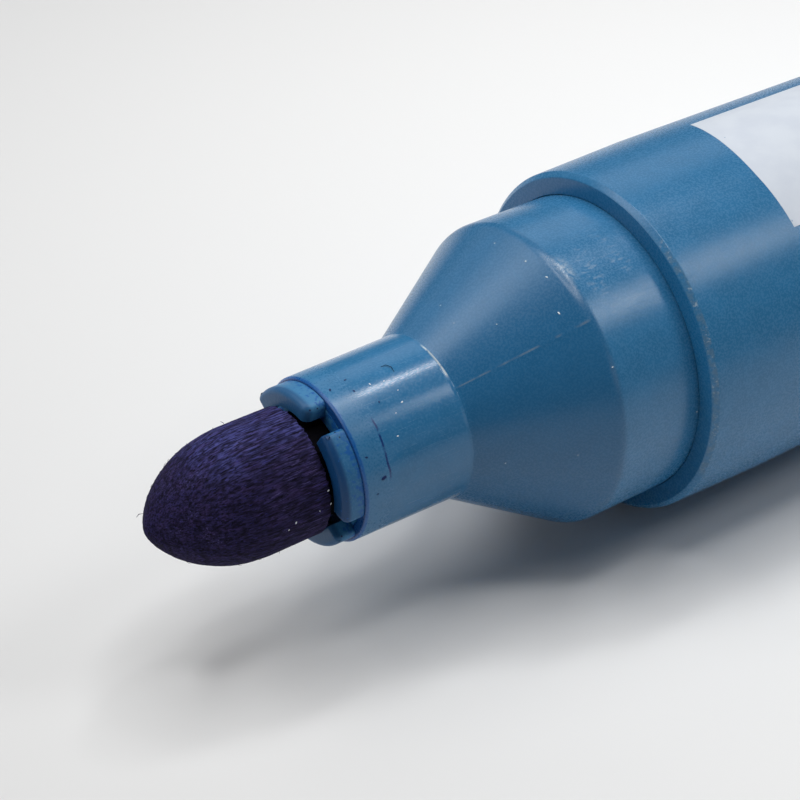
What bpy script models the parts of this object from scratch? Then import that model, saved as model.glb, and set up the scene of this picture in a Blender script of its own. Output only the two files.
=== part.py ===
"""A permanent marker with a bullet nib, lying on its side with its cap posted on its tail.

Metres, +Z up. The marker's axis runs along X, with the nib towards -X and the cap towards +X.
The floor is z = 0, and the origin lies on it under the middle of the whole object.
"""

import math

import bmesh
import bpy
from mathutils import Matrix

MM = 0.001

# Facets round every turned piece. A multiple of four puts a corner on each of the box's sides.
SEGMENTS = 64
ROUND_STEPS = 4
WELD = 0.000001
SMOOTH_BELOW = math.radians(35)

# Nib: a bullet head, and behind it a thinner shank
NIB_RADIUS = 2.69 * MM
NIB_SHANK_RADIUS = 2.2 * MM
NIB_PROUD = 7.72 * MM
NIB_DOME = 4.51 * MM
NIB_DOME_POWER = 2.17
NIB_DOME_ROOT = 1.46
NIB_DOME_STEPS = 10
NIB_BITE = 10.0 * MM
NIB_CHAMFER = 0.6 * MM

# Nib holder: a sleeve round the shank, whose four lugs stand on the nozzle's rim behind the head
SLEEVE_WALL = 0.71 * MM
SLEEVE_LENGTH = 9.0 * MM
LUG_PROUD = 0.93 * MM
LUG_INSET = 0.15 * MM
LUG_RELIEF = 0.36 * MM
LUG_ROUND = 0.15 * MM
SLOT_WIDTH = 1.2 * MM
SLOT_SINK = 0.05 * MM
SLOT_TURN = math.radians(65.8)

# Front section: nozzle tube, cone, collar and the spigot inside the barrel
TUBE_WALL = 0.45 * MM
TUBE_LENGTH = 5.08 * MM
TUBE_DRAFT = 0.055 * MM
RIM_EDGE = 0.12 * MM
CONE_LENGTH = 5.05 * MM
CONE_INSET = 1.2 * MM
COLLAR_LENGTH = 3.88 * MM
SPIGOT_WALL = 1.0 * MM
SPIGOT_DEPTH = 8.0 * MM
SPIGOT_CHAMFER = 0.4 * MM

# Ink reservoir and the film round it
RESERVOIR_RADIUS = 5.04 * MM
RESERVOIR_START = 2.0 * MM
STOP_LEDGE = 0.5 * MM
WRAP_THICKNESS = 0.2 * MM
WRAP_INSET = 1.0 * MM

# Barrel
BARREL_LENGTH = 95.16 * MM
BARREL_LIP = 0.96 * MM
BARREL_SHOULDER = 0.5 * MM
BARREL_EDGE = 0.25 * MM
RIB_COUNT = 6
RIB_WIDTH = 0.8 * MM
RIB_END_INSET = 2.0 * MM
RIB_SINK = 0.3 * MM

# Tail plug and the post that takes the cap
PLUG_DEPTH = 7.0 * MM
PLUG_FLOOR = 1.5 * MM
PLUG_CHAMFER = 0.4 * MM
POST_LENGTH = 6.0 * MM
POST_ROUND = 0.8 * MM

# Cap and clip
CAP_LENGTH = 34.0 * MM
CAP_END_WALL = 1.6 * MM
CAP_ROUND = 1.2 * MM
CAP_MOUTH_CHAMFER = 0.2 * MM
CLIP_GAP = 1.2 * MM
CLIP_THICKNESS = 1.3 * MM
CLIP_WIDTH = 4.4 * MM
CLIP_LENGTH = 27.0 * MM
CLIP_ROOT = 4.0 * MM
CLIP_END_INSET = 0.4 * MM
CLIP_SINK = 0.15 * MM
CLIP_FILLET = 0.4 * MM
CLIP_FILLET_STEPS = 3
CLIP_NIP = 0.6 * MM
CLIP_NIP_LENGTH = 3.0 * MM

# Seal cup inside the cap
SEAL_STANDOFF = 1.5 * MM
SEAL_WALL = 0.8 * MM
SEAL_FLOOR = 1.2 * MM
SEAL_FLANGE = 2.0 * MM
SEAL_LEAD = 0.3 * MM

# Clearances
SEAT_GAP = 0.3 * MM
NIB_FIT = 0.06 * MM
HEAD_GAP = 0.1 * MM
SLEEVE_FIT = 0.06 * MM
LUG_SEAT_GAP = 0.05 * MM
BITE_FIT = 0.15 * MM
WRAP_FIT = 0.1 * MM
RESERVOIR_FIT = 0.3 * MM
COLLAR_FIT = 0.15 * MM
CAP_FIT = 0.2 * MM
SEAL_FIT = 0.15 * MM
FLANGE_FIT = 0.1 * MM

# Radii that follow, from the nib and the reservoir outwards
SLEEVE_BORE = NIB_SHANK_RADIUS + NIB_FIT
SLEEVE_RADIUS = SLEEVE_BORE + SLEEVE_WALL
TUBE_BORE = SLEEVE_RADIUS + SLEEVE_FIT
TUBE_RADIUS = TUBE_BORE + TUBE_WALL
LUG_BORE = SLEEVE_BORE + LUG_RELIEF
LUG_RADIUS = TUBE_RADIUS - LUG_INSET
WRAP_BORE = RESERVOIR_RADIUS + WRAP_FIT
WRAP_RADIUS = WRAP_BORE + WRAP_THICKNESS
SPIGOT_BORE = WRAP_RADIUS + RESERVOIR_FIT
COLLAR_RADIUS = SPIGOT_BORE + SPIGOT_WALL
STOP_RADIUS = RESERVOIR_RADIUS - STOP_LEDGE
MOUTH_BORE = COLLAR_RADIUS + COLLAR_FIT
BARREL_RADIUS = MOUTH_BORE + BARREL_LIP
BARREL_BORE = MOUTH_BORE - BARREL_SHOULDER
CAP_RADIUS = BARREL_RADIUS
CAP_BORE = COLLAR_RADIUS + CAP_FIT
CLIP_INNER = CAP_RADIUS + CLIP_GAP
CLIP_OUTER = CLIP_INNER + CLIP_THICKNESS
SEAL_BORE = TUBE_RADIUS + SEAL_FIT
SEAL_RADIUS = SEAL_BORE + SEAL_WALL
FLANGE_RADIUS = CAP_BORE - FLANGE_FIT

# Places along the axis, from the nib's tip at -X to the cap's end at +X
NOSE_LENGTH = TUBE_LENGTH + CONE_LENGTH + COLLAR_LENGTH
OVERALL_LENGTH = NIB_PROUD + NOSE_LENGTH + BARREL_LENGTH + SEAT_GAP + CAP_LENGTH
TIP_X = -OVERALL_LENGTH / 2
RIM_X = TIP_X + NIB_PROUD
BARREL_X = RIM_X + NOSE_LENGTH
TAIL_X = BARREL_X + BARREL_LENGTH
CAP_X = TAIL_X + SEAT_GAP
RESERVOIR_X = BARREL_X + RESERVOIR_START
PLUG_X = TAIL_X - PLUG_DEPTH
PLUG_CUP = PLUG_DEPTH - PLUG_FLOOR
RESERVOIR_LENGTH = PLUG_X + PLUG_CUP - SEAT_GAP - RESERVOIR_X
NIB_HEAD = NIB_PROUD - LUG_PROUD - HEAD_GAP
NIB_LENGTH = RESERVOIR_X + NIB_BITE - TIP_X
SEAL_MOUTH = COLLAR_LENGTH + CONE_LENGTH + SEAL_STANDOFF
SEAL_LENGTH = CAP_LENGTH - CAP_END_WALL - SEAT_GAP - SEAL_MOUTH

# The clip leans on the floor beside the barrel. Its outer corners are arcs of CLIP_FILLET, so the
# corner's arc centre gives both the turn that lowers it to the floor and how far the clip reaches in Y.
CORNER_OUT = CLIP_OUTER - CLIP_FILLET
CORNER_SIDE = CLIP_WIDTH / 2 - CLIP_FILLET
CORNER_RADIUS = math.hypot(CORNER_OUT, CORNER_SIDE)
CORNER_LEAD = math.atan2(CORNER_SIDE, CORNER_OUT)
CLIP_DROP = math.asin((BARREL_RADIUS - CLIP_FILLET) / CORNER_RADIUS) - CORNER_LEAD
CLIP_REACH = CORNER_RADIUS * math.cos(CLIP_DROP - CORNER_LEAD) + CLIP_FILLET
AXIS_Y = (BARREL_RADIUS - CLIP_REACH) / 2
AXIS_Z = BARREL_RADIUS

# Colours, linear
BLUE = (0.040, 0.125, 0.235)
INKED_FELT = (0.012, 0.010, 0.035)
INKED_FIBRE = (0.020, 0.022, 0.120)
FILM = (0.62, 0.66, 0.70)
NATURAL = (0.70, 0.71, 0.70)


def finish(name, colour, roughness):
    """A plain plastic or fibre material of one colour."""
    material = bpy.data.materials.new(name)
    material.use_nodes = True
    shader = material.node_tree.nodes["Principled BSDF"]
    shader.inputs["Base Color"].default_value = (*colour, 1.0)
    shader.inputs["Roughness"].default_value = roughness
    shader.inputs["Metallic"].default_value = 0.0
    return material


def empty(name, parent, location):
    """A point that carries pieces."""
    point = bpy.data.objects.new(name, None)
    point.parent = parent
    point.location = location
    bpy.context.scene.collection.objects.link(point)
    return point


def add_object(name, shape, parent, x, material=None):
    """Close a bmesh into an object whose own origin lies on the marker's axis, x along it."""
    mesh = bpy.data.meshes.new(name)
    shape.to_mesh(mesh)
    shape.free()
    mesh.shade_smooth()
    mesh.set_sharp_from_angle(angle=SMOOTH_BELOW)
    if material:
        mesh.materials.append(material)
    piece = bpy.data.objects.new(name, mesh)
    piece.parent = parent
    piece.location = (x, 0.0, 0.0)
    bpy.context.scene.collection.objects.link(piece)
    return piece


def turned(profile):
    """Spin a profile of (x, radius) points about the X axis into a closed shape.

    A profile that starts on the axis also ends there. Any other is a closed ring section.
    """
    shape = bmesh.new()
    verts = [shape.verts.new((x, 0.0, radius)) for x, radius in profile]
    edges = [shape.edges.new(pair) for pair in zip(verts, verts[1:])]
    if profile[0][1] > 0.0:
        edges.append(shape.edges.new((verts[-1], verts[0])))
    bmesh.ops.spin(
        shape,
        geom=verts + edges,
        cent=(0.0, 0.0, 0.0),
        axis=(1.0, 0.0, 0.0),
        angle=math.tau,
        steps=SEGMENTS,
        use_merge=True,
    )
    bmesh.ops.remove_doubles(shape, verts=shape.verts, dist=WELD)
    bmesh.ops.recalc_face_normals(shape, faces=shape.faces)
    return shape


def rounded_edge(x, radius, size):
    """Profile points of a quarter-round edge that ends a turned piece at x, on its outer side."""
    turns = [math.pi / 2 * step / ROUND_STEPS for step in range(ROUND_STEPS + 1)]
    return [(x - size + size * math.sin(t), radius - size + size * math.cos(t)) for t in turns]


def bar(low, high, turn=0.0):
    """A box between two corners, turned about the X axis."""
    shape = bmesh.new()
    bmesh.ops.create_cube(shape, size=1.0)
    size = [h - l for l, h in zip(low, high)]
    middle = [(h + l) / 2 for l, h in zip(low, high)]
    bmesh.ops.scale(shape, vec=size, verts=shape.verts)
    bmesh.ops.translate(shape, vec=middle, verts=shape.verts)
    bmesh.ops.rotate(shape, matrix=Matrix.Rotation(turn, 3, "X"), verts=shape.verts)
    return shape


def combine(piece, tool, operation):
    """Join a tool to a piece or cut it away, and keep the tool out of the finished object."""
    tool.hide_render = True
    tool.display_type = "WIRE"
    modifier = piece.modifiers.new(tool.name, "BOOLEAN")
    modifier.operation = operation
    modifier.object = tool
    modifier.solver = "EXACT"


def make_nib(axis):
    """Felt nib with a bullet head. Its shank runs through the holder into the reservoir."""
    turns = [math.pi / 2 * step / NIB_DOME_STEPS for step in range(1, NIB_DOME_STEPS + 1)]
    profile = [(0.0, 0.0)]
    for turn in turns:
        to_tip = math.cos(turn)
        radius = NIB_RADIUS * (1 - to_tip**NIB_DOME_POWER) ** (1 / NIB_DOME_ROOT)
        profile.append((NIB_DOME * (1 - to_tip), radius))
    profile += [
        (NIB_HEAD, NIB_RADIUS),
        (NIB_HEAD, NIB_SHANK_RADIUS),
        (NIB_LENGTH - NIB_CHAMFER, NIB_SHANK_RADIUS),
        (NIB_LENGTH, NIB_SHANK_RADIUS - NIB_CHAMFER),
        (NIB_LENGTH, 0.0),
    ]
    add_object("nib", turned(profile), axis, TIP_X, finish("inked_felt", INKED_FELT, 0.9))


def make_nib_holder(axis):
    """Sleeve in the nozzle tube. Two crossed slots part the ring on its front into four lugs."""
    profile = [
        (-LUG_PROUD, LUG_BORE),
        *[(-x, r) for x, r in reversed(rounded_edge(LUG_PROUD, LUG_RADIUS, LUG_ROUND))],
        (-LUG_SEAT_GAP, LUG_RADIUS),
        (-LUG_SEAT_GAP, SLEEVE_RADIUS),
        (SLEEVE_LENGTH, SLEEVE_RADIUS),
        (SLEEVE_LENGTH, SLEEVE_BORE),
        (0.0, SLEEVE_BORE),
        (0.0, LUG_BORE),
    ]
    material = finish("holder_plastic", BLUE, 0.45)
    holder = add_object("nib_holder", turned(profile), axis, RIM_X, material)
    reach = 2 * TUBE_RADIUS
    for number in range(2):
        low = (-2 * LUG_PROUD, -reach, -SLOT_WIDTH / 2)
        high = (SLOT_SINK, reach, SLOT_WIDTH / 2)
        slot = bar(low, high, number * math.pi / 2 - SLOT_TURN)
        combine(holder, add_object(f"slot_cutter_{number}", slot, axis, RIM_X), "DIFFERENCE")


def make_front_section(axis):
    """Nozzle tube, cone and collar. The collar runs on into the barrel as its spigot."""
    cone_x = TUBE_LENGTH + CONE_LENGTH
    end_x = NOSE_LENGTH + SPIGOT_DEPTH
    stop_x = NOSE_LENGTH + RESERVOIR_START - SEAT_GAP
    profile = [
        (0.0, TUBE_BORE),
        (0.0, TUBE_RADIUS - RIM_EDGE),
        (RIM_EDGE, TUBE_RADIUS),
        (TUBE_LENGTH, TUBE_RADIUS + TUBE_DRAFT),
        (cone_x, COLLAR_RADIUS),
        (end_x - SPIGOT_CHAMFER, COLLAR_RADIUS),
        (end_x, COLLAR_RADIUS - SPIGOT_CHAMFER),
        (end_x, SPIGOT_BORE),
        (stop_x, SPIGOT_BORE),
        (stop_x, STOP_RADIUS),
        (cone_x + CONE_INSET, STOP_RADIUS),
        (TUBE_LENGTH + CONE_INSET, TUBE_BORE),
    ]
    material = finish("front_plastic", BLUE, 0.4)
    add_object("front_section", turned(profile), axis, RIM_X, material)


def make_barrel(axis):
    """Tube counterbored at both ends, with ribs inside that steady the reservoir."""
    front_seat = SPIGOT_DEPTH + SEAT_GAP
    rear_seat = BARREL_LENGTH - PLUG_DEPTH - SEAT_GAP
    profile = [
        (0.0, MOUTH_BORE),
        (0.0, BARREL_RADIUS - BARREL_EDGE),
        (BARREL_EDGE, BARREL_RADIUS),
        (BARREL_LENGTH - BARREL_EDGE, BARREL_RADIUS),
        (BARREL_LENGTH, BARREL_RADIUS - BARREL_EDGE),
        (BARREL_LENGTH, MOUTH_BORE),
        (rear_seat, MOUTH_BORE),
        (rear_seat, BARREL_BORE),
        (front_seat, BARREL_BORE),
        (front_seat, MOUTH_BORE),
    ]
    material = finish("barrel_plastic", BLUE, 0.38)
    barrel = add_object("barrel", turned(profile), axis, BARREL_X, material)
    low = (front_seat + RIB_END_INSET, -RIB_WIDTH / 2, SPIGOT_BORE)
    high = (rear_seat - RIB_END_INSET, RIB_WIDTH / 2, BARREL_BORE + RIB_SINK)
    for number in range(RIB_COUNT):
        rib = bar(low, high, math.tau * number / RIB_COUNT)
        combine(barrel, add_object(f"rib_{number}", rib, axis, BARREL_X), "UNION")


def make_ink_reservoir(axis):
    """Fibre rod with a blind hole that the nib's shank fills."""
    hole = NIB_BITE + SEAT_GAP
    hole_radius = NIB_SHANK_RADIUS + BITE_FIT
    profile = [
        (hole, 0.0),
        (hole, hole_radius),
        (0.0, hole_radius),
        (0.0, RESERVOIR_RADIUS),
        (RESERVOIR_LENGTH, RESERVOIR_RADIUS),
        (RESERVOIR_LENGTH, 0.0),
    ]
    material = finish("inked_fibre", INKED_FIBRE, 0.95)
    add_object("ink_reservoir", turned(profile), axis, RESERVOIR_X, material)


def make_reservoir_wrap(axis):
    """Film sleeve round the fibre rod, a little short of it at both ends."""
    end = RESERVOIR_LENGTH - WRAP_INSET
    profile = [
        (WRAP_INSET, WRAP_BORE),
        (WRAP_INSET, WRAP_RADIUS),
        (end, WRAP_RADIUS),
        (end, WRAP_BORE),
    ]
    material = finish("clear_film", FILM, 0.2)
    add_object("reservoir_wrap", turned(profile), axis, RESERVOIR_X, material)


def make_tail_plug(axis):
    """Plug pressed into the barrel's rear. Its cup holds the reservoir's end, its post the cap."""
    profile = [
        (PLUG_CUP, 0.0),
        (PLUG_CUP, SPIGOT_BORE),
        (0.0, SPIGOT_BORE),
        (0.0, COLLAR_RADIUS - PLUG_CHAMFER),
        (PLUG_CHAMFER, COLLAR_RADIUS),
        *rounded_edge(PLUG_DEPTH + POST_LENGTH, COLLAR_RADIUS, POST_ROUND),
        (PLUG_DEPTH + POST_LENGTH, 0.0),
    ]
    add_object("tail_plug", turned(profile), axis, PLUG_X, finish("plug_plastic", BLUE, 0.42))


def clip_outline():
    """Side view of the clip: (x from the cap's mouth, distance from the axis)."""
    root_end = CAP_LENGTH - CAP_ROUND - CLIP_END_INSET
    root_front = root_end - CLIP_ROOT
    free_end = root_end - CLIP_LENGTH
    foot = math.sqrt(CAP_RADIUS**2 - (CLIP_WIDTH / 2) ** 2) - CLIP_SINK
    return [
        (root_end, CLIP_OUTER),
        (root_end, foot),
        (root_front, foot),
        (root_front, CLIP_INNER),
        (free_end + CLIP_NIP_LENGTH, CLIP_INNER),
        (free_end + CLIP_NIP_LENGTH / 2, CLIP_INNER - CLIP_NIP),
        (free_end, CLIP_INNER),
        (free_end, CLIP_OUTER),
    ]


def clip_shape():
    """The clip's outline, widened, with all its edges rounded, and turned to lean on the floor."""
    shape = bmesh.new()
    verts = [shape.verts.new((x, -CLIP_WIDTH / 2, out)) for x, out in clip_outline()]
    side = shape.faces.new(verts)
    grown = bmesh.ops.extrude_face_region(shape, geom=[side])["geom"]
    moved = [item for item in grown if isinstance(item, bmesh.types.BMVert)]
    bmesh.ops.translate(shape, vec=(0.0, CLIP_WIDTH, 0.0), verts=moved)
    bmesh.ops.recalc_face_normals(shape, faces=shape.faces)
    bmesh.ops.bevel(
        shape,
        geom=shape.edges[:],
        offset=CLIP_FILLET,
        segments=CLIP_FILLET_STEPS,
        profile=0.5,
        affect="EDGES",
        material=-1,
    )
    below_horizontal = Matrix.Rotation(-math.pi / 2 - CLIP_DROP, 3, "X")
    bmesh.ops.rotate(shape, matrix=below_horizontal, verts=shape.verts)
    return shape


def make_cap_shell(cap):
    """Cap closed at its far end, flush with the barrel, with its clip moulded on."""
    inner_end = CAP_LENGTH - CAP_END_WALL
    profile = [
        (inner_end, 0.0),
        (inner_end, CAP_BORE),
        (CAP_MOUTH_CHAMFER, CAP_BORE),
        (0.0, CAP_BORE + CAP_MOUTH_CHAMFER),
        (0.0, CAP_RADIUS - BARREL_EDGE),
        (BARREL_EDGE, CAP_RADIUS),
        *rounded_edge(CAP_LENGTH, CAP_RADIUS, CAP_ROUND),
        (CAP_LENGTH, 0.0),
    ]
    shell = add_object("cap_shell", turned(profile), cap, 0.0, finish("cap_plastic", BLUE, 0.38))
    combine(shell, add_object("clip", clip_shape(), cap, 0.0), "UNION")


def make_cap_inner_seal(cap):
    """Cup that slides over the nozzle tube, on a flange held at the cap's closed end."""
    profile = [
        (SEAL_LENGTH - SEAL_FLOOR, 0.0),
        (SEAL_LENGTH - SEAL_FLOOR, SEAL_BORE),
        (SEAL_LEAD, SEAL_BORE),
        (0.0, SEAL_BORE + SEAL_LEAD),
        (0.0, SEAL_RADIUS),
        (SEAL_LENGTH - SEAL_FLANGE, SEAL_RADIUS),
        (SEAL_LENGTH - SEAL_FLANGE, FLANGE_RADIUS),
        (SEAL_LENGTH, FLANGE_RADIUS),
        (SEAL_LENGTH, 0.0),
    ]
    material = finish("seal_plastic", NATURAL, 0.5)
    add_object("cap_inner_seal", turned(profile), cap, SEAL_MOUTH, material)


def main():
    for leftover in list(bpy.data.objects):
        bpy.data.objects.remove(leftover, do_unlink=True)
    axis = empty("marker_axis", None, (0.0, AXIS_Y, AXIS_Z))
    cap = empty("cap_slide", axis, (CAP_X, 0.0, 0.0))
    make_nib(axis)
    make_nib_holder(axis)
    make_front_section(axis)
    make_barrel(axis)
    make_ink_reservoir(axis)
    make_reservoir_wrap(axis)
    make_tail_plug(axis)
    make_cap_shell(cap)
    make_cap_inner_seal(cap)


main()
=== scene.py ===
# %% [markdown]
# # A felt marker, dressed
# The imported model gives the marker's pieces at their true size and place. This lesson makes their
# surfaces: a turned blue plastic body, an ink-soaked felt nib and a cap with a clip.
# Shapes are in metres, in the model's own frame, and each piece is measured from the frame's boxes.

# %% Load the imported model
import math
import random

import bmesh
import bpy
from mathutils import Matrix, Quaternion, Vector, noise


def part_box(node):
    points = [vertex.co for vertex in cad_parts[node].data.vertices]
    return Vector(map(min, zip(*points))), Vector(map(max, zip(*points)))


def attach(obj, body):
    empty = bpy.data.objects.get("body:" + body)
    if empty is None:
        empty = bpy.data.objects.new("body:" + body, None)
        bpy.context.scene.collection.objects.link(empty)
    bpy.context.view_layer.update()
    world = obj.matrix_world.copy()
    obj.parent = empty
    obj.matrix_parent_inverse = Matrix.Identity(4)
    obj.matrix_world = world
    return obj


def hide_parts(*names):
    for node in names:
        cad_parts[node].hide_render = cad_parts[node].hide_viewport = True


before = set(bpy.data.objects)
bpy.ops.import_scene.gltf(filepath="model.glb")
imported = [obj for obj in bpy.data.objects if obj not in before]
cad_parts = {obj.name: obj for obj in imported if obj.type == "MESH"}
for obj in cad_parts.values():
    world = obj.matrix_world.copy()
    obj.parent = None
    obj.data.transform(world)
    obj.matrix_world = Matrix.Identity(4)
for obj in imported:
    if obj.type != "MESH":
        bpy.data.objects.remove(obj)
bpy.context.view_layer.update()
MM = 0.001
print("nodes:", ", ".join(sorted(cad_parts)))

# %% [markdown]
# The marker is a turned object, so nearly every place on it is a distance along its axis, a radius and
# an angle. The axis comes from the barrel's box. Angles start at the side that faces the camera, -Y, and
# grow towards the top. The places along the axis come from the boxes of the pieces that end there.

# %% The axis and the places along it
barrel_low, barrel_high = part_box("barrel")
nose_low, nose_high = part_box("front_section")
nib_low, nib_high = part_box("nib")
holder_low, holder_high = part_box("nib_holder")
plug_low, plug_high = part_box("tail_plug")
cap_low, cap_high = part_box("cap_shell")
seal_low, seal_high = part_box("cap_inner_seal")

AXIS = (barrel_low + barrel_high) / 2
TIP_X = nib_low.x
RIM_X = nose_low.x
MOUTH_X = barrel_low.x
TAIL_X = barrel_high.x
CREASE_X = RIM_X + 5.08 * MM
SHOULDER_X = CREASE_X + 5.05 * MM

BARREL_RADIUS = (barrel_high.z - barrel_low.z) / 2
COLLAR_RADIUS = (nose_high.z - nose_low.z) / 2
TUBE_RADIUS = 3.48 * MM
TUBE_DRAFT = 0.055 * MM
NIB_RADIUS = (nib_high.z - nib_low.z) / 2
LUG_FRONT = holder_low.x


def on_axis(along, radius, degrees):
    """The point at a distance along the axis, a radius and an angle round it."""
    turn = math.radians(degrees)
    return Vector((along, AXIS.y - radius * math.cos(turn), AXIS.z + radius * math.sin(turn)))


print(f"axis at y {AXIS.y / MM:.3f}, z {AXIS.z / MM:.3f} mm; rim at x {RIM_X / MM:.2f} mm")

# %% [markdown]
# ## Camera
# The camera stands close to the nib, above it and to its left, and looks along the marker. Its place is
# given from the centre of the nozzle's rim, because that is what the picture is framed on.

# %% Camera
CAMERA_FROM_RIM = Vector((-32.639, -51.176, 45.424)) * MM
CAMERA_BACK = Vector((-0.47708, -0.66520, 0.57437))
CAMERA_ROLL = math.radians(-0.14)
LENS_MM = 86.5

camera_data = bpy.data.cameras.new("camera")
camera_data.lens = LENS_MM
camera_data.sensor_width = 36.0
camera_data.clip_start = 1 * MM
camera = bpy.data.objects.new("camera", camera_data)
camera.location = Vector((RIM_X, AXIS.y, AXIS.z)) + CAMERA_FROM_RIM
camera.rotation_mode = "QUATERNION"
rolled = Quaternion((0, 0, 1), CAMERA_ROLL)
camera.rotation_quaternion = (-CAMERA_BACK).to_track_quat("-Z", "Y") @ rolled
bpy.context.scene.collection.objects.link(camera)
bpy.context.scene.camera = camera
print(f"camera {CAMERA_FROM_RIM.length / MM:.1f} mm from the rim, lens {LENS_MM} mm")

# %% [markdown]
# ## Tools for turned pieces
# A lathe-turned shape could be a Screw modifier on a profile. Here the profile is a chain of edges in a
# bmesh and the spin operator carries it round, because the mesh is then real at once and its vertices can
# still be pushed about. A corner of the outline may carry a round, which becomes an arc.

# %% Outlines with rounded corners, and the spin
TURN_STEPS = 240
ARC_STEPS = 6
SECTORS = 8
WELD = 1e-7
CRISP = 0.03 * MM
BLUNT = 0.05 * MM
SOFT = 0.10 * MM
ROUND_AXIS = dict(cent=AXIS, axis=(-1, 0, 0))


def outline_points(corners):
    """Points of a closed outline of (along, radius) corners; a third number rounds that corner."""
    points = []
    for number, (along, radius, *rounding) in enumerate(corners):
        here = Vector((along, radius))
        if not rounding:
            points.append(here)
            continue
        before = (Vector(corners[number - 1][:2]) - here).normalized()
        after = (Vector(corners[(number + 1) % len(corners)][:2]) - here).normalized()
        half = before.angle(after) / 2
        centre = here + (before + after).normalized() * rounding[0] / math.sin(half)
        reach = rounding[0] / math.tan(half)
        start, end = here + before * reach - centre, here + after * reach - centre
        for step in range(ARC_STEPS + 1):
            spoke = start.slerp(end, step / ARC_STEPS).normalized()
            points.append(centre + spoke * rounding[0])
    return points


def turned(corners, steps=TURN_STEPS):
    """Spin a closed outline once round the axis. An outline's edge along the axis makes no wall."""
    shape = bmesh.new()
    verts = [shape.verts.new((p.x, AXIS.y - p.y, AXIS.z)) for p in outline_points(corners)]
    edges = []
    for pair in zip(verts, verts[1:] + verts[:1]):
        if any(AXIS.y - vert.co.y > WELD for vert in pair):
            edges.append(shape.edges.new(pair))
    sector = math.tau / SECTORS
    bmesh.ops.spin(shape, geom=verts + edges, angle=sector, steps=steps // SECTORS, **ROUND_AXIS)
    whole = shape.verts[:] + shape.edges[:] + shape.faces[:]
    rest = SECTORS - 1
    bmesh.ops.spin(shape, geom=whole, angle=rest * sector, steps=rest, use_duplicate=True, **ROUND_AXIS)
    bmesh.ops.remove_doubles(shape, verts=shape.verts, dist=WELD)
    bmesh.ops.recalc_face_normals(shape, faces=shape.faces)
    return shape


def radius_and_angle(vert):
    """How far a vertex is from the axis, and its angle in degrees."""
    across, up = AXIS.y - vert.co.y, vert.co.z - AXIS.z
    return math.hypot(across, up), math.degrees(math.atan2(up, across))


def push_out(vert, distance):
    """Move a vertex straight away from the axis."""
    outward = Vector((0, vert.co.y - AXIS.y, vert.co.z - AXIS.z))
    if outward.length > WELD:
        vert.co += outward.normalized() * distance


print(f"{TURN_STEPS} steps round, {ARC_STEPS} along each rounded corner")

# %% [markdown]
# A finished piece is an object at the origin with its place in its mesh. Its long faces are flat and its
# rounded corners small, so weighted normals keep the long faces clean where the two meet.

# %% Turning a bmesh into a piece that rides the model
SHARP_ABOVE = math.radians(40)


def add_object(name, shape, material):
    """Make an object of a bmesh and dress it."""
    mesh = bpy.data.meshes.new(name)
    shape.to_mesh(mesh)
    shape.free()
    mesh.materials.append(material)
    made = bpy.data.objects.new(name, mesh)
    bpy.context.scene.collection.objects.link(made)
    return made


def add_piece(name, shape, material, replaces=None, body="marker_body", weighted=True):
    """Add a smooth piece that rides on a body, in place of a CAD node where it has one."""
    piece = add_object(name, shape, material)
    mesh = piece.data
    mesh.shade_smooth()
    mesh.set_sharp_from_angle(angle=SHARP_ABOVE)
    if weighted:
        normals = piece.modifiers.new("weighted_normals", "WEIGHTED_NORMAL")
        normals.weight = 100
        normals.keep_sharp = True
    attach(piece, body)
    if replaces:
        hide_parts(replaces)
    print(f"{name}: {len(mesh.vertices)} vertices, {len(mesh.polygons)} faces")


print(f"edges over {math.degrees(SHARP_ABOVE):.0f} degrees stay sharp")

# %% [markdown]
# ## Tools for finishes
# A finish is a Principled shader and the textures that feed it. All textures read Object coordinates, so
# that a pattern keeps its real size, given in millimetres. A small class holds the node tree, so that each
# finish below reads as a recipe.

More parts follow.
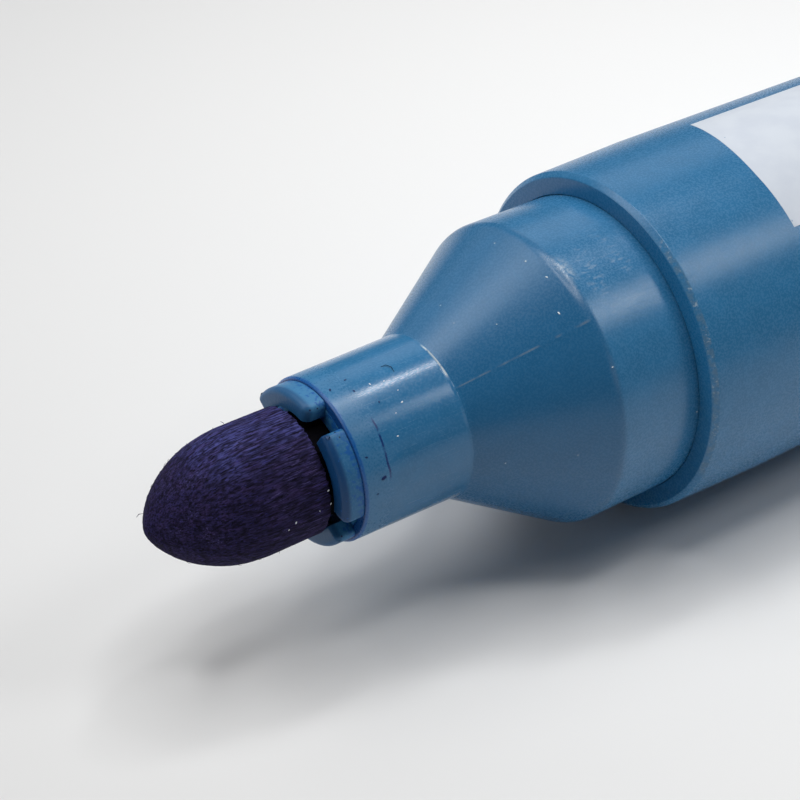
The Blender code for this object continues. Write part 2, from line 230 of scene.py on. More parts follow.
# %% A finish and its textures
class Finish:
    """A material that isn't metal: one Principled shader and the nodes that feed it."""

    def __init__(self, name, **constants):
        self.material = bpy.data.materials.new(name)
        self.material.use_nodes = True
        self.tree = self.material.node_tree
        self.shader = self.tree.nodes["Principled BSDF"]
        for socket, value in {"Metallic": 0.0, **constants}.items():
            self.shader.inputs[socket.replace("_", " ")].default_value = value
        self.place = self.add("TexCoord").outputs["Object"]

    def add(self, kind, inputs=None, **settings):
        """A node with its settings, whose inputs are constants or other nodes' outputs."""
        made = self.tree.nodes.new("ShaderNode" + kind)
        for key, value in settings.items():
            setattr(made, key, value)
        for key, value in (inputs or {}).items():
            self.feed(made.inputs[key], value)
        return made

    def feed(self, socket, value):
        """Link an output to a socket, or set the socket to a constant."""
        if isinstance(value, bpy.types.NodeSocket):
            self.tree.links.new(value, socket)
        else:
            socket.default_value = value

    def done(self, colour, rough=None, normal=None):
        """Feed the shader its colour and, where they are given, roughness and normal."""
        for socket, value in (("Base Color", colour), ("Roughness", rough), ("Normal", normal)):
            if value is not None:
                self.feed(self.shader.inputs[socket], value)
        return self.material

    def math(self, operation, first, second=0.0, third=0.0):
        """One step of arithmetic."""
        made = self.add("Math", {0: first, 1: second, 2: third}, operation=operation)
        return made.outputs[0]

    def times(self, *factors):
        """The product of several values."""
        product = factors[0]
        for factor in factors[1:]:
            product = self.math("MULTIPLY", product, factor)
        return product

    def noise(self, size, detail=2.0, stretch=1):
        """Cloudy noise from 0 to 1; its features are about size mm across and stretched along the axis."""
        scale = [1 / (size * MM * s) for s in (stretch, 1, 1)]
        mapped = self.add("Mapping", {"Vector": self.place, "Scale": scale})
        made = self.add("TexNoise", {"Vector": mapped.outputs[0], "Scale": 1.0, "Detail": detail})
        return made.outputs["Fac"]

    def specks(self, spacing, radius, share):
        """Small round specks: a share of the cells of a foam has one; spacing and radius are in mm."""
        foam = self.add("TexVoronoi", {"Vector": self.place, "Scale": 1 / (spacing * MM)})
        chosen = self.add("SeparateColor", {"Color": foam.outputs["Color"]})
        near = self.span(foam.outputs["Distance"], radius / spacing, 0.6 * radius / spacing)
        return self.times(near, self.math("LESS_THAN", chosen.outputs[0], share))

    def span(self, value, low, high):
        """Ramp a value smoothly from 0 at low to 1 at high."""
        inputs = {"Value": value, "From Min": low, "From Max": high}
        made = self.add("MapRange", inputs, interpolation_type="SMOOTHSTEP", clamp=True)
        return made.outputs["Result"]

    def between(self, value, low, high, soft):
        """1 between two values and 0 outside them, with soft ends."""
        rise = self.span(value, low - soft / 2, low + soft / 2)
        fall = self.span(value, high + soft / 2, high - soft / 2)
        return self.times(rise, fall)

    def mix(self, share, first, second):
        """Blend two colours, of which one at least is a constant, or two numbers."""
        kind = "RGBA" if tuple in (type(first), type(second)) else "FLOAT"
        made = self.add("Mix", data_type=kind, clamp_factor=True)
        for key, value in (("Factor", share), ("A", first), ("B", second)):
            self.feed(made.inputs[key], (*value, 1) if isinstance(value, tuple) else value)
        return made.outputs["Result"]

    def bump(self, height, depth, below=None):
        """Raise the surface by a height from 0 to 1, depth mm at most, over an earlier bump."""
        made = self.add("Bump", {"Height": height, "Distance": depth * MM, "Strength": 1.0})
        if below:
            self.feed(made.inputs["Normal"], below)
        return made.outputs["Normal"]

    def axis_place(self):
        """Find the distance along the marker's axis and the angle round it, in radians from -Y."""
        parts = self.add("SeparateXYZ", {"Vector": self.place})
        across = self.math("SUBTRACT", AXIS.y, parts.outputs["Y"])
        up = self.math("SUBTRACT", parts.outputs["Z"], AXIS.z)
        self.along, self.angle = parts.outputs["X"], self.math("ARCTAN2", up, across)
        return self.along

    def around(self, low, high, soft):
        """1 between two angles in degrees, with soft ends in radians."""
        return self.between(self.angle, math.radians(low), math.radians(high), soft)


print("finish tools ready")

# %% [markdown]
# ## Blue moulded plastic
# The nozzle, barrel and cap are dyed plastic from a fine-sparked mould: satin, faintly mottled, with an
# orange-peel surface, hairline scratches and specks of dust. A plain colour with one roughness would look
# like paint, so colour, roughness and bump each get their own noise at its own scale.

# %% Blue moulded plastic
BLUE = (0.030, 0.172, 0.358)
PALE_BLUE = (0.062, 0.218, 0.415)
DEEP_BLUE = (0.024, 0.150, 0.315)
DUST = (0.62, 0.68, 0.74)
INK_SPECK = (0.006, 0.012, 0.060)


def blue_plastic(name, scratch_length=1, specular=0.5):
    """Satin blue plastic, with scratches that run along the axis."""
    finish = Finish(name, IOR=1.47, Specular_IOR_Level=specular)
    mottle = finish.noise(0.9, detail=3)
    grain = finish.noise(0.09)
    colour = finish.mix(finish.span(mottle, 0.2, 0.8), DEEP_BLUE, BLUE)
    colour = finish.mix(finish.times(finish.span(grain, 0.4, 0.75), 0.7), colour, PALE_BLUE)
    finish.dusted = finish.mix(finish.specks(1.1, 0.05, 0.16), colour, DUST)
    scuffed = finish.span(finish.noise(0.05, stretch=scratch_length), 0.60, 0.75)
    rough = finish.mix(finish.span(grain, 0.3, 0.7), 0.23, 0.31)
    finish.rough = finish.mix(scuffed, rough, 0.42)
    peel = finish.bump(finish.noise(0.35), 0.0012)
    fine = finish.bump(grain, 0.0016, peel)
    finish.done(finish.dusted, finish.rough, finish.bump(scuffed, 0.0008, fine))
    return finish


plain_blue = blue_plastic("blue_moulding", 30).material
print("blue plastic ready")

# %% [markdown]
# ## Inked plastic round the nib
# Ink creeps out at the rim. The nozzle's edge is stained bright blue, dark specks of dried ink lie on the
# first millimetres of the tube, and a scratch there has filled with ink. Painted shade darkens the tube
# below its top, the whole cone and more below its top, and the rim's end face between the lugs. Use has
# rubbed the plastic pale in places, and pale painted highlights lie along the tube's streak, on the flash
# of the crease and on the edge before the collar. An image could be painted for this.
# Marks placed by the distance along the axis and the angle round it need no unwrapping, and they stay
# where they are however the mesh is cut.

# %% Marks on the nozzle
SCRATCH_PLACE = 1.20 * MM
SCRATCH_WIDTH = 0.085 * MM
SCRATCH_FROM, SCRATCH_TO = 12.0, 52.0
PARTING_ANGLE = 49.3
PARTING_HALF = 0.007
FLASH_FROM, FLASH_TO = 59.0, 88.0
EDGE_HIGHLIGHT_FROM, EDGE_HIGHLIGHT_TO = 66.0, 74.0
STREAK_FROM, STREAK_TO = 68.0, 73.0
SMEARS_FROM, SMEARS_TO = 48.0, 80.0


def inked_scratch(finish):
    """A fine scratch part of the way round the tube, with ink in it."""
    wander = finish.math("MULTIPLY_ADD", finish.noise(0.9), 0.16 * MM, finish.along)
    middle = RIM_X + SCRATCH_PLACE + 0.08 * MM
    line = finish.between(wander, middle - SCRATCH_WIDTH / 2, middle + SCRATCH_WIDTH / 2, 0.02 * MM)
    reach = finish.around(SCRATCH_FROM, SCRATCH_TO, 0.1)
    broken = finish.span(finish.noise(0.35, detail=3), 0.36, 0.50)
    return finish.times(line, reach, broken)


def parting_line(finish):
    """The mould's parting line on the cone, rubbed pale in places."""
    middle = math.radians(PARTING_ANGLE)
    line = finish.between(finish.angle, middle - PARTING_HALF, middle + PARTING_HALF, 0.008)
    broken = finish.span(finish.noise(0.7, detail=3), 0.44, 0.62)
    on_cone = finish.between(finish.along, CREASE_X, SHOULDER_X - 0.1 * MM, 0.3 * MM)
    return finish.times(line, broken, on_cone, 0.5)


def scuffs_and_highlight(finish):
    """A band of short pale lines along the tube: rubbed lines and a painted highlight where its streak
    falls.
    """
    # Painted highlight: the pale lines lie only in the band of the tube's streak.
    lines = finish.span(finish.noise(0.045, detail=3, stretch=4), 0.45, 0.70)
    reach = finish.between(finish.along, RIM_X + 1.0 * MM, CREASE_X - 0.2 * MM, 0.8 * MM)
    band = finish.around(STREAK_FROM, STREAK_TO, 0.06)
    return finish.times(band, reach, lines, 0.6)


def smears(finish):
    """Faint pale strokes on the collar, where fingers and the cap have rubbed it."""
    strokes = finish.span(finish.noise(0.12, detail=3, stretch=3), 0.48, 0.68)
    patches = finish.span(finish.noise(0.9), 0.42, 0.60)
    reach = finish.between(finish.along, SHOULDER_X + 0.7 * MM, MOUTH_X - 0.2 * MM, 0.8 * MM)
    band = finish.around(SMEARS_FROM, SMEARS_TO, 0.25)
    return finish.times(band, reach, patches, strokes, 0.32)


def rubs_and_highlights(finish):
    """Pale spots, rubbed and painted highlight: the flash on the crease, and a place between cone and
    collar.
    """
    crease = finish.between(finish.along, CREASE_X - 0.09 * MM, CREASE_X - 0.01 * MM, 0.04 * MM)
    on_top = finish.around(FLASH_FROM, FLASH_TO, 0.08)
    uneven = finish.span(finish.noise(0.3), 0.25, 0.50)
    flash = finish.times(crease, on_top, uneven)
    # Painted highlight on the rubbed edge between cone and collar.
    edge = finish.between(finish.along, SHOULDER_X + 0.05 * MM, SHOULDER_X + 0.55 * MM, 0.30 * MM)
    beside = finish.around(EDGE_HIGHLIGHT_FROM, EDGE_HIGHLIGHT_TO, 0.14)
    broken = finish.span(finish.noise(0.16, detail=3), 0.35, 0.65)
    return finish.math("MAXIMUM", flash, finish.times(edge, beside, broken, 0.5))


print("marks: scratch, parting line, scuffs, smears and knocks")

# %% Nozzle plastic with ink at its rim
PAINTED_SHADE_BLUE = (0.010, 0.085, 0.200)
BRIGHT_INK = (0.004, 0.085, 0.330)
DARK_INK_AND_SHADE = (0.003, 0.030, 0.145)
RIM_STAIN = 0.11 * MM
SPECK_REACH = 2.6 * MM
SHADE_FROM, SHADE_TO = 84.0, 62.0
RUBBED = (0.20, 0.24, 0.28)
PALE_WEAR_AND_HIGHLIGHT = (0.50, 0.58, 0.64)
PALE_SCUFF_AND_HIGHLIGHT = (0.36, 0.46, 0.58)


def nozzle_plastic():
    """Blue plastic stained at the rim, ink specks and a scratch behind it, rubs, painted highlights and
    shade.
    """
    finish = blue_plastic("nozzle_plastic", 40)
    along = finish.axis_place()
    on_tube = finish.span(along, CREASE_X + 0.1 * MM, CREASE_X - 0.1 * MM)
    on_cone = finish.between(along, CREASE_X, SHOULDER_X + 0.2 * MM, 0.3 * MM)
    # Painted shade: darker below the top, a little on the tube and more on the whole cone.
    shade_below_top = finish.span(finish.angle, math.radians(SHADE_FROM), math.radians(SHADE_TO))
    tube_shade = finish.times(on_tube, shade_below_top, 0.22)
    cone_shade = finish.math("MULTIPLY_ADD", shade_below_top, 0.24, 0.36)
    painted_shade = finish.math("MULTIPLY_ADD", on_cone, cone_shade, tube_shade)
    colour = finish.mix(painted_shade, finish.dusted, PAINTED_SHADE_BLUE)
    for marks, shade in ((parting_line, RUBBED), (scuffs_and_highlight, PALE_SCUFF_AND_HIGHLIGHT), (smears, PALE_SCUFF_AND_HIGHLIGHT), (rubs_and_highlights, PALE_WEAR_AND_HIGHLIGHT)):
        colour = finish.mix(marks(finish), colour, shade)
    specks = finish.specks(0.42, 0.05, 0.35)
    near_rim = finish.span(along, RIM_X + SPECK_REACH, RIM_X)
    scratch = inked_scratch(finish)
    dark = finish.math("MAXIMUM", finish.times(specks, near_rim), scratch)
    colour = finish.mix(dark, colour, DARK_INK_AND_SHADE)
    ragged = finish.math("MULTIPLY_ADD", finish.noise(0.25, detail=3), 0.16 * MM, along)
    stain = finish.span(ragged, RIM_X + RIM_STAIN + 0.14 * MM, RIM_X + RIM_STAIN + 0.04 * MM)
    colour = finish.mix(finish.times(stain, 0.75), colour, BRIGHT_INK)
    # Painted shade: the rim's end face, seen between the lugs, is made darker.
    face = finish.span(along, RIM_X + 0.04 * MM, RIM_X + 0.01 * MM)
    colour = finish.mix(finish.times(face, 0.65), colour, DARK_INK_AND_SHADE)
    dull = finish.times(finish.span(along, RIM_X + 1.8 * MM, RIM_X + 0.6 * MM), 0.10)
    rougher = finish.math("ADD", finish.rough, dull)
    return finish.done(colour, finish.math("MULTIPLY_ADD", on_tube, -0.07, rougher))


nozzle_blue = nozzle_plastic()
print("nozzle plastic ready")

# %% [markdown]
# The lugs are the same plastic under a film of ink, which dulls them and gathers in blots towards the rim.
# The noise of the blots feeds the bump too, so that colour and surface agree. The lug on the near side is
# darker, painted shade darkens the front ends beside the felt, and painted light makes the upper side
# paler.

# %% Lug plastic with ink stains
DARKENED_LUG_BLUE = (0.003, 0.038, 0.130)
NEAR_LUGS_FROM, NEAR_LUGS_TO = -20.0, 66.0
LIT_LUG_FROM, LIT_LUG_TO = 60.0, 72.0


def lug_plastic():
    """Blue plastic under a film of ink, duller, with blots towards the rim, painted shade and painted
    light.
    """
    finish = blue_plastic("lug_plastic", specular=0.30)
    along = finish.axis_place()
    blots = finish.noise(0.16, detail=4)
    nearer = finish.span(along, RIM_X - 0.75 * MM, RIM_X)
    stain = finish.span(finish.math("MULTIPLY_ADD", nearer, 0.18, blots), 0.62, 0.74)
    # Painted shade at the front ends, beside the felt; the lug on the near side is darker too.
    front_shade = finish.span(along, LUG_FRONT + 0.40 * MM, LUG_FRONT + 0.18 * MM)
    near_side = finish.around(NEAR_LUGS_FROM, NEAR_LUGS_TO, 0.1)
    darkened = finish.math("MULTIPLY_ADD", near_side, 0.30, finish.times(front_shade, 0.62))
    # Painted light: the upper side is paler.
    upper = finish.span(finish.angle, math.radians(LIT_LUG_FROM), math.radians(LIT_LUG_TO))
    colour = finish.mix(finish.times(upper, 0.55), finish.dusted, PALE_BLUE)
    colour = finish.mix(darkened, colour, DARKENED_LUG_BLUE)
    colour = finish.mix(finish.times(stain, 0.8), colour, BRIGHT_INK)
    colour = finish.mix(finish.specks(0.35, 0.05, 0.35), colour, INK_SPECK)
    rippled = finish.bump(blots, 0.012)
    grained = finish.bump(finish.noise(0.05, detail=3), 0.004, rippled)
    return finish.done(colour, finish.math("ADD", finish.rough, 0.15), grained)


lug_blue = lug_plastic()
print("lug plastic ready")

# %% [markdown]
# ## Inked felt
# The nib is a rod of acrylic fibres that run along it, soaked in blue-violet ink and nearly black. Noise
# stretched along the axis gives the fibres on the side, and on the dome, where the fibres are cut across,
# the same noise turns into specks by itself. Painted light makes the upper side paler, and patches of the
# felt lean towards wine red. Painted shade makes the shank behind the head black between the lugs.

# %% Inked felt
FELT_BLACK = (0.0012, 0.0010, 0.0028)
FELT_DARK = (0.0045, 0.0032, 0.0120)
FELT_VIOLET = (0.0260, 0.0210, 0.0800)
FELT_PAINTED_LIGHT = (0.0600, 0.0640, 0.2250)
FELT_WINE = (0.0420, 0.0240, 0.0900)
FELT_PALE = (0.1300, 0.1100, 0.3000)
FELT_BLUE = (0.0400, 0.0400, 0.3000)
FIBRE_WIDTH = 0.07
LIT_FROM, LIT_TO = 60.0, 150.0


def inked_felt():
    """Dark violet felt, streaked and grooved along the axis, with pits between clumps of fibres."""
    finish = Finish("felt_with_ink", Roughness=0.8, IOR=1.4, Specular_IOR_Level=0.12)
    along = finish.axis_place()
    strands = finish.noise(FIBRE_WIDTH, detail=5, stretch=7)
    hairs = finish.noise(0.45 * FIBRE_WIDTH, detail=3, stretch=13)
    clumps = finish.noise(0.20, detail=3, stretch=2)
    patches = finish.noise(0.8, detail=3, stretch=2.5)
    off_tip = finish.span(along, TIP_X + 1.4 * MM, TIP_X + 3.4 * MM)
    # Painted light: off the tip, the upper side is paler.
    upper = finish.around(LIT_FROM, LIT_TO, 0.6)
    lit_and_soaked = finish.mix(finish.times(off_tip, upper), FELT_VIOLET, FELT_PAINTED_LIGHT)
    wine = finish.span(finish.noise(0.32, detail=3, stretch=3), 0.46, 0.64)
    lit_and_soaked = finish.mix(finish.times(wine, 0.45), lit_and_soaked, FELT_WINE)
    colour = finish.mix(finish.span(strands, 0.30, 0.66), FELT_DARK, lit_and_soaked)
    pale = finish.times(finish.span(hairs, 0.52, 0.70), finish.span(patches, 0.40, 0.65), 0.50)
    colour = finish.mix(pale, colour, FELT_PALE)
    glints = finish.times(finish.span(hairs, 0.60, 0.70), finish.span(patches, 0.62, 0.45), 0.45)
    colour = finish.mix(glints, colour, FELT_BLUE)
    colour = finish.mix(finish.times(finish.span(clumps, 0.55, 0.35), 0.55), colour, FELT_DARK)
    grooves = finish.noise(0.11, detail=3, stretch=12)
    furrow = finish.span(grooves, 0.46, 0.36)
    colour = finish.mix(finish.times(furrow, 0.6), colour, FELT_DARK)
    pits = finish.span(finish.noise(0.08, detail=4, stretch=2.2), 0.42, 0.30)
    colour = finish.mix(finish.times(pits, 0.8), colour, FELT_BLACK)
    # Painted shade: the shank behind the head, between the lugs, is black.
    behind = finish.span(along, LUG_FRONT - 0.10 * MM, LUG_FRONT - 0.04 * MM)
    colour = finish.mix(behind, colour, FELT_BLACK)
    lumpy = finish.bump(clumps, 0.030, finish.bump(grooves, 0.040))
    coarse = finish.bump(strands, 0.022, lumpy)
    return finish.done(colour, normal=finish.bump(hairs, 0.012, coarse))


felt = inked_felt()
print("inked felt ready")

# %% [markdown]
# ## The nib
# The nib has a bullet head and a thinner shank. The dome is a superellipse of revolution: it is blunter
# than a cone and sharper than a ball. After the spin every vertex of the head is pushed in or out by a
# noise that is stretched along the axis and counts in fibre widths, and the head's rear edge is frayed.

# %% The nib
DOME_LENGTH = 4.51 * MM
DOME_POWER = 2.17
DOME_ROOT = 1.46
DOME_STEPS = 64
SIDE_STEPS = 28
HEAD_END = LUG_FRONT - 0.10 * MM
HEAD_ROUND = 0.12 * MM
SHANK_RADIUS = 2.20 * MM
FIBRE_DEPTH = 0.022 * MM
FRAY = 0.10 * MM
FRAY_LENGTH = 0.40 * MM
FRAY_WIDTH = 1.6
STRAND_LENGTH = 9
CLUMP_LENGTH = 30
CLUMP_WIDTH = 5
NIB_STEPS = 288


def dome_radius(along):
    """The head's radius at a distance along the axis."""
    to_dome_end = max(0.0, 1 - (along - TIP_X) / DOME_LENGTH)
    return NIB_RADIUS * (1 - to_dome_end**DOME_POWER) ** (1 / DOME_ROOT)


def nib_points():
    """The dome from its tip, the side of the head, its rear edge and the shank."""
    points = [Vector((TIP_X, 0.0))]
    for step in range(1, DOME_STEPS + 1):
        to_tip = math.cos(math.pi / 2 * step / DOME_STEPS) ** (2 / DOME_POWER)
        along = TIP_X + DOME_LENGTH * (1 - to_tip)
        points.append(Vector((along, dome_radius(along))))
    start = points[-1].x
    side = HEAD_END - HEAD_ROUND - start
    for step in range(1, SIDE_STEPS + 1):
        points.append(Vector((start + side * step / SIDE_STEPS, NIB_RADIUS)))
    rear = [
        (HEAD_END, NIB_RADIUS, HEAD_ROUND),
        (HEAD_END, SHANK_RADIUS),
        (nib_high.x, SHANK_RADIUS),
        (nib_high.x, 0.0),
        (HEAD_END - 2 * HEAD_ROUND, NIB_RADIUS),
    ]
    return points + outline_points(rear)[1:-1]


nib_shape = turned(nib_points(), NIB_STEPS)
for vert in nib_shape.verts:
    radius, _ = radius_and_angle(vert)
    if vert.co.x < HEAD_END + 0.01 * MM and radius > 0.02 * MM:
        across = vert.co * (1 / (FIBRE_WIDTH * MM))
        strand = noise.noise(Vector((across.x / STRAND_LENGTH, across.y, across.z)))
        wide = across / CLUMP_WIDTH
        clump = noise.noise(Vector((across.x / CLUMP_LENGTH, wide.y, wide.z)))
        fray = noise.noise(Vector((0, across.y / FRAY_WIDTH, across.z / FRAY_WIDTH)))
        near_end = max(0.0, 1 - (HEAD_END - vert.co.x) / FRAY_LENGTH)
        vert.co += vert.normal * FIBRE_DEPTH * (0.6 * strand + 0.8 * clump - 0.3)
        vert.co.x -= FRAY * near_end * (0.5 + fray)
add_piece("nib_felt", nib_shape, felt, "nib", weighted=False)

# %% [markdown]
# ## The nib holder
# Four lugs stand on the nozzle's rim behind the nib's head. A lug is made flat, as a small block, because
# its corners are easy to bevel there: one end is rounded off in plan, then all its upper edges. The
# block is cut into slices with planes and bent round the axis. A plain sleeve carries the lugs.

# %% A lug, flat and then bent
LUG_SPAN = 70.5
LUG_RADIUS = 3.34 * MM
LUG_BORE = 2.62 * MM
LUG_STEPS = 28
LUG_ROUND = 0.26 * MM
LUG_EDGE = 0.11 * MM
LUG_CORNER = 0.36 * MM
LUG_SEAT = 0.01 * MM


def bevel_edges(shape, edges, size, segments):
    """Round some edges of a bmesh."""
    how = dict(segments=segments, profile=0.5, affect="EDGES", material=-1)
    bmesh.ops.bevel(shape, geom=edges, offset=size, **how)


def flat_lug():
    """A lug before it is bent: its length along X, its arc along Y and its thickness along Z."""
    arc = math.radians(LUG_SPAN) * LUG_RADIUS
    size = Vector((RIM_X - LUG_SEAT - LUG_FRONT, arc, LUG_RADIUS - LUG_BORE))
    shape = bmesh.new()
    bmesh.ops.create_cube(shape, size=1.0)
    bmesh.ops.scale(shape, vec=size, verts=shape.verts)
    bmesh.ops.translate(shape, vec=(size.x / 2, 0, size.z / 2), verts=shape.verts)
    for side, corner in ((-1, LUG_CORNER), (1, LUG_EDGE)):
        corners = [v for v in shape.verts if v.co.x < WELD and v.co.y * side > 0.49 * arc]
        upright = [e for e in shape.edges if all(v in corners for v in e.verts)]
        bevel_edges(shape, upright, corner, 8)
    upper = [e for e in shape.edges if all(v.co.z > size.z - WELD for v in e.verts)]
    rear = [e for e in upper if all(v.co.x > size.x - WELD for v in e.verts)]
    bevel_edges(shape, [e for e in upper if e not in rear], LUG_ROUND, 6)
    for step in range(1, LUG_STEPS):
        place = (0, arc * (step / LUG_STEPS - 0.5), 0)
        whole = shape.verts[:] + shape.edges[:] + shape.faces[:]
        bmesh.ops.bisect_plane(shape, geom=whole, plane_co=place, plane_no=(0, 1, 0))
    return shape


def bent_lug(middle):
    """A lug bent round the axis about a middle angle."""
    shape = flat_lug()
    for vert in shape.verts:
        angle = middle + math.degrees(vert.co.y / LUG_RADIUS)
        vert.co = on_axis(LUG_FRONT + vert.co.x, LUG_BORE + vert.co.z, angle)
    bmesh.ops.recalc_face_normals(shape, faces=shape.faces)
    return shape


print(f"a lug spans {LUG_SPAN} degrees, {(LUG_RADIUS - LUG_BORE) / MM:.2f} mm thick")

# %% The lugs and the sleeve as one piece
LUG_COUNT = 4
LUG_FIRST = 20.4
SLEEVE_RADIUS = 2.99 * MM
SLEEVE_BORE = 2.26 * MM
SLEEVE_ROUND = 0.06 * MM


def join(shapes):
    """Several bmeshes as one."""
    joined = bmesh.new()
    for shape in shapes:
        held = bpy.data.meshes.new("held")
        shape.to_mesh(held)
        shape.free()
        joined.from_mesh(held)
        bpy.data.meshes.remove(held)
    return joined


sleeve_corners = [
    (RIM_X - 2 * LUG_SEAT, SLEEVE_BORE, SLEEVE_ROUND),
    (RIM_X - 2 * LUG_SEAT, SLEEVE_RADIUS),
    (holder_high.x, SLEEVE_RADIUS),
    (holder_high.x, SLEEVE_BORE),
]
holder_shapes = [bent_lug(LUG_FIRST + number * 360 / LUG_COUNT) for number in range(LUG_COUNT)]
holder_shapes.append(turned(sleeve_corners))
add_piece("nib_holder_lugs", join(holder_shapes), lug_blue, "nib_holder")

# %% [markdown]
# ## The front section
# Nozzle tube, cone and collar are one moulding. Its rim has a small chamfer, the cone meets the collar in
# a soft edge, and a hair-thin bead runs round the crease where two mould parts met. The same meeting left a
# raised flash on top of the crease and a fine line along the cone, which are pushed out of the mesh. A
# narrow ring at each end of the tube holds its shading straight.

# %% The front section
TUBE_BORE = 3.03 * MM
SPIGOT_BORE = 5.64 * MM
STOP_RADIUS = 4.54 * MM
STOP_X = MOUTH_X + 1.7 * MM
LEAD_IN = 0.4 * MM
CONE_INSET = 1.2 * MM
RIM_EDGE = 0.09 * MM
SHOULDER_ROUND = 0.90 * MM
BEAD = 0.015 * MM
BEAD_WIDTH = 0.10 * MM
FLASH_HEIGHT = 0.07 * MM
PARTING_HEIGHT = 0.012 * MM
PARTING_REACH = 0.4
NOSE_STEPS = 360
HOLD = 0.08 * MM

nose_corners = [
    (RIM_X, TUBE_BORE),
    (RIM_X, TUBE_RADIUS - RIM_EDGE, CRISP),
    (RIM_X + RIM_EDGE, TUBE_RADIUS, BLUNT),
    (RIM_X + RIM_EDGE + HOLD, TUBE_RADIUS),
    (CREASE_X - BEAD_WIDTH - HOLD, TUBE_RADIUS + TUBE_DRAFT),
    (CREASE_X - BEAD_WIDTH, TUBE_RADIUS + TUBE_DRAFT),
    (CREASE_X - BEAD_WIDTH / 2, TUBE_RADIUS + TUBE_DRAFT + BEAD),
    (CREASE_X, TUBE_RADIUS + TUBE_DRAFT + BEAD / 2),
    (SHOULDER_X, COLLAR_RADIUS, SHOULDER_ROUND),
    (nose_high.x - LEAD_IN, COLLAR_RADIUS),
    (nose_high.x, COLLAR_RADIUS - LEAD_IN),
    (nose_high.x, SPIGOT_BORE),
    (STOP_X, SPIGOT_BORE),
    (STOP_X, STOP_RADIUS),
    (SHOULDER_X + CONE_INSET, STOP_RADIUS),
    (CREASE_X + CONE_INSET, TUBE_BORE),
]
nose_shape = turned(nose_corners, NOSE_STEPS)
for vert in nose_shape.verts:
    radius, angle = radius_and_angle(vert)
    at_crease = abs(vert.co.x - CREASE_X + BEAD_WIDTH / 2) < 0.3 * BEAD_WIDTH
    if at_crease and radius > TUBE_RADIUS and FLASH_FROM < angle < FLASH_TO:
        swell = math.sin(math.pi * (angle - FLASH_FROM) / (FLASH_TO - FLASH_FROM))
        ragged = 0.75 + 0.5 * noise.noise(Vector((0, 0, angle / 2)))
        push_out(vert, FLASH_HEIGHT * swell * ragged)
    off_parting = abs(angle - PARTING_ANGLE)
    on_parting = min(off_parting, abs(off_parting - 180)) < PARTING_REACH
    if on_parting and CREASE_X < vert.co.x + WELD < SHOULDER_X and radius > TUBE_BORE + 0.1 * MM:
        push_out(vert, PARTING_HEIGHT)
add_piece("nozzle_and_collar", nose_shape, nozzle_blue, "front_section")

# %% [markdown]
# ## The barrel
# A plain tube, whose mouth is wider than the collar and steps down to it. The step's edge is broken by a
# small chamfer that handling has rubbed dull, so the barrel's finish is worn there. The tube narrows by a
# hair towards the mouth, as a moulding does that has to leave its core.

# %% The barrel
BARREL_EDGE = 0.22 * MM
MOUTH_FACE = MOUTH_X + 0.17 * MM
MOUTH_RADIUS = BARREL_RADIUS - 0.13 * MM
MOUTH_TAPER = 5.0 * MM
MOUTH_BORE = 6.79 * MM
LIP_BORE = COLLAR_RADIUS + 0.025 * MM
LIP_LENGTH = 0.8 * MM
BARREL_BORE = 6.29 * MM
SPIGOT_SEAT = 8.3 * MM
PLUG_SEAT = 7.3 * MM
WORN = (0.085, 0.180, 0.290)
MOUTH_BLUE = (0.010, 0.120, 0.275)
WORN_FROM, WORN_TO = -21.0, 62.0
WORN_FADE = math.radians(8)


def barrel_plastic():
    """Blue plastic, darker on the mouth's face, and rubbed pale on the edge round the mouth."""
    finish = blue_plastic("barrel_plastic", 30, specular=0.42)
    along = finish.axis_place()
    before = finish.span(along, MOUTH_FACE + 0.27 * MM, MOUTH_FACE + 0.21 * MM)
    behind = finish.span(along, MOUTH_FACE + 0.01 * MM, MOUTH_FACE + 0.05 * MM)
    edge = finish.times(before, behind, finish.around(WORN_FROM, WORN_TO, WORN_FADE))
    rubbed = finish.span(finish.noise(0.25, detail=4), 0.36, 0.62)
    nicked = finish.span(finish.noise(0.11, detail=4), 0.58, 0.66)
    # The mouth's face, the step down to the collar, is darker.
    face = finish.span(along, MOUTH_FACE + 0.05 * MM, MOUTH_FACE + 0.02 * MM)
    colour = finish.mix(finish.times(face, 0.6), finish.dusted, MOUTH_BLUE)
    colour = finish.mix(finish.times(edge, rubbed, 0.8), colour, WORN)
    colour = finish.mix(finish.times(edge, nicked, 0.5), colour, PALE_WEAR_AND_HIGHLIGHT)
    return finish.done(colour)


barrel_corners = [
    (MOUTH_X + LIP_LENGTH, MOUTH_BORE),
    (MOUTH_X + LIP_LENGTH, LIP_BORE),
    (MOUTH_FACE, LIP_BORE, CRISP),
    (MOUTH_FACE, MOUTH_RADIUS - BARREL_EDGE, BLUNT),
    (MOUTH_FACE + BARREL_EDGE, MOUTH_RADIUS, SOFT),
    (MOUTH_FACE + MOUTH_TAPER, BARREL_RADIUS),
    (TAIL_X, BARREL_RADIUS, BARREL_EDGE),
    (TAIL_X, MOUTH_BORE),
    (TAIL_X - PLUG_SEAT, MOUTH_BORE),
    (TAIL_X - PLUG_SEAT, BARREL_BORE),
    (MOUTH_X + SPIGOT_SEAT, BARREL_BORE),
    (MOUTH_X + SPIGOT_SEAT, MOUTH_BORE),
]
add_piece("barrel_tube", turned(barrel_corners), barrel_plastic(), "barrel")

# %% [markdown]
# ## The print panel
# A white panel is printed on the barrel and left bare. Ink has a thickness, if a very small one, so the
# panel is a thin curved sheet: a line along the barrel is spun through the panel's angle and solidified.
# Its front edge leans back a little towards the far side.

